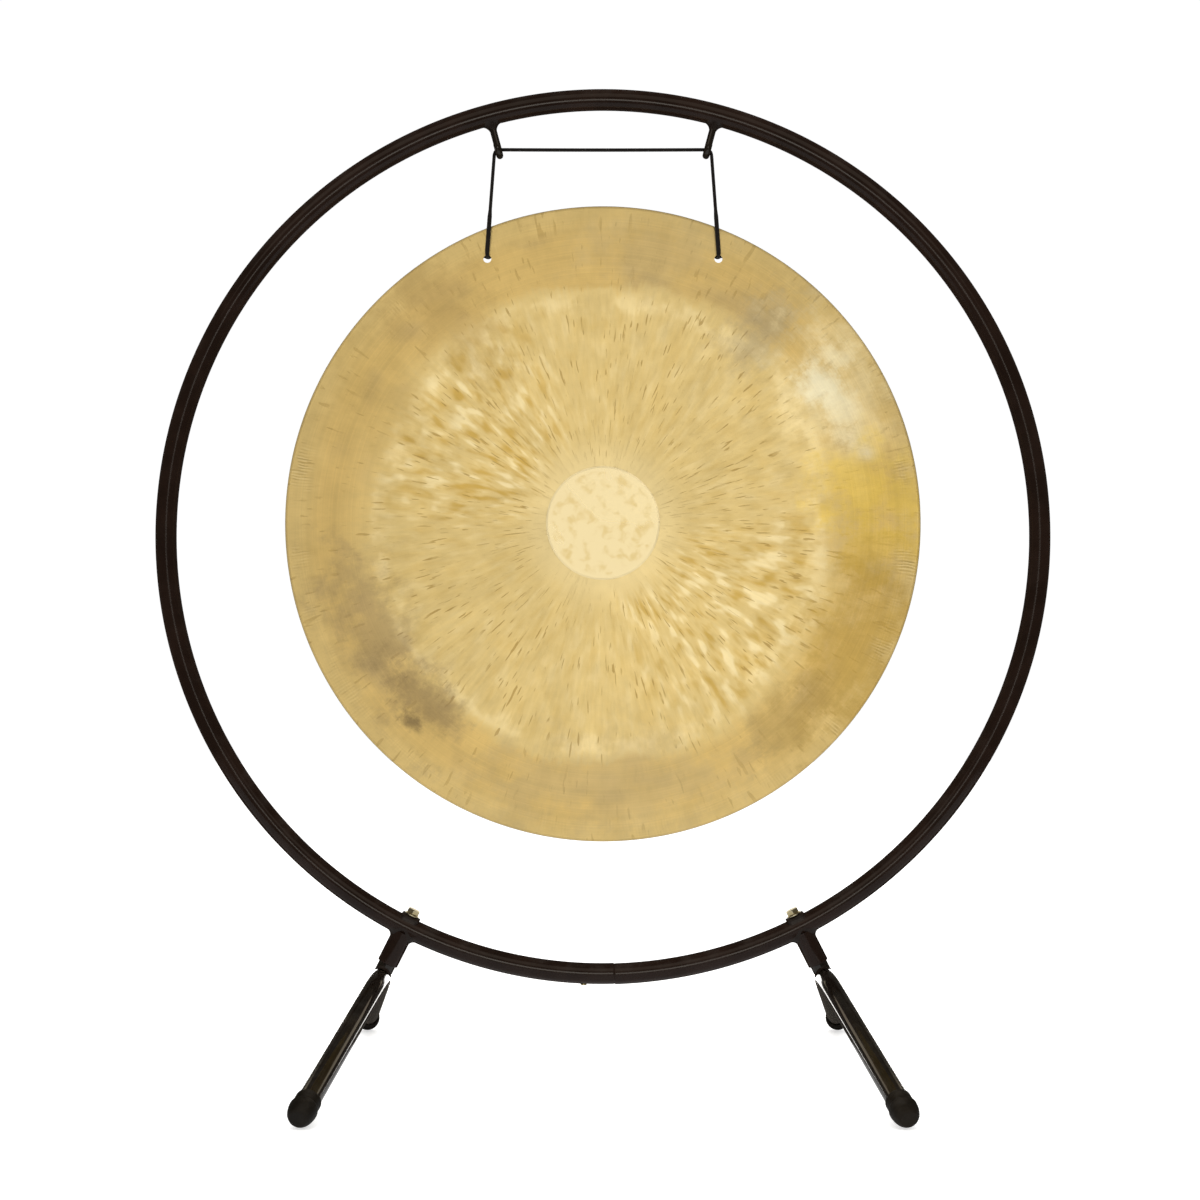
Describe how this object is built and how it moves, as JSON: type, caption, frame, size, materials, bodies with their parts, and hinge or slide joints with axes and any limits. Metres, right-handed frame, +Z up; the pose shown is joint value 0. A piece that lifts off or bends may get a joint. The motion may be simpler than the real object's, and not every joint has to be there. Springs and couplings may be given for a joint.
{
  "type": "tam tam gong",
  "caption": "Flat hammered and lathed brass gong hung by a black cord from two hooks inside a round steel tube stand with splayed legs and rubber feet.",
  "frame": {"origin": "on the floor, under the middle of the stand", "axes": "+Z up; the hoop stands in the plane y = 0; +X to the right seen from the front; the gong's struck face looks along -Y"},
  "size_m": [0.7698, 0.4338, 0.8462],
  "materials": {
    "stand_paint": "glossy near-black paint with a warm tint",
    "gong_metal": "hammered and lathed brass, satin, lighter in the middle and darker towards the rim",
    "yellow_zinc": "pale yellow zinc plating",
    "foot_rubber": "dull black moulded rubber",
    "cord_braid": "black braided cord",
    "bare_steel": "plain steel tube"
  },
  "bodies": {
    "stand": {"hoop_tube": "stand_paint", "leg_socket_left": "stand_paint", "leg_socket_right": "stand_paint", "leg_spigot_left": "stand_paint", "leg_spigot_right": "stand_paint", "leg_tube_left": "stand_paint", "leg_tube_right": "stand_paint", "saddle_pad_left": "stand_paint", "saddle_pad_right": "stand_paint", "cord_hook_left": "stand_paint", "cord_hook_right": "stand_paint", "hoop_splice_screw": "yellow_zinc", "bolt_washer_left": "yellow_zinc", "bolt_washer_right": "yellow_zinc", "leg_bolt_left": "yellow_zinc", "leg_bolt_right": "yellow_zinc", "foot_front_left": "foot_rubber", "foot_front_right": "foot_rubber", "foot_rear_left": "foot_rubber", "foot_rear_right": "foot_rubber", "cord_top_span": "cord_braid", "hoop_splice_sleeve": "bare_steel"},
    "cord_drops": {"cord_drop_left": "cord_braid", "cord_drop_right": "cord_braid"},
    "gong": {"gong_disc": "gong_metal", "cord_knot_left": "cord_braid", "cord_knot_right": "cord_braid"}
  },
  "joints": [
    {"name": "cord_swing", "type": "hinge", "parent": "stand", "child": "cord_drops", "pos_m": [0, 0.007, 0.79157], "axis": [-1, 0, 0], "range_deg": [-25, 25]},
    {"name": "gong_tilt", "type": "hinge", "parent": "cord_drops", "child": "gong", "pos_m": [0, 0.007, 0.7086], "axis": [-1, 0, 0], "range_deg": [-1.5, 25]}
  ]
}
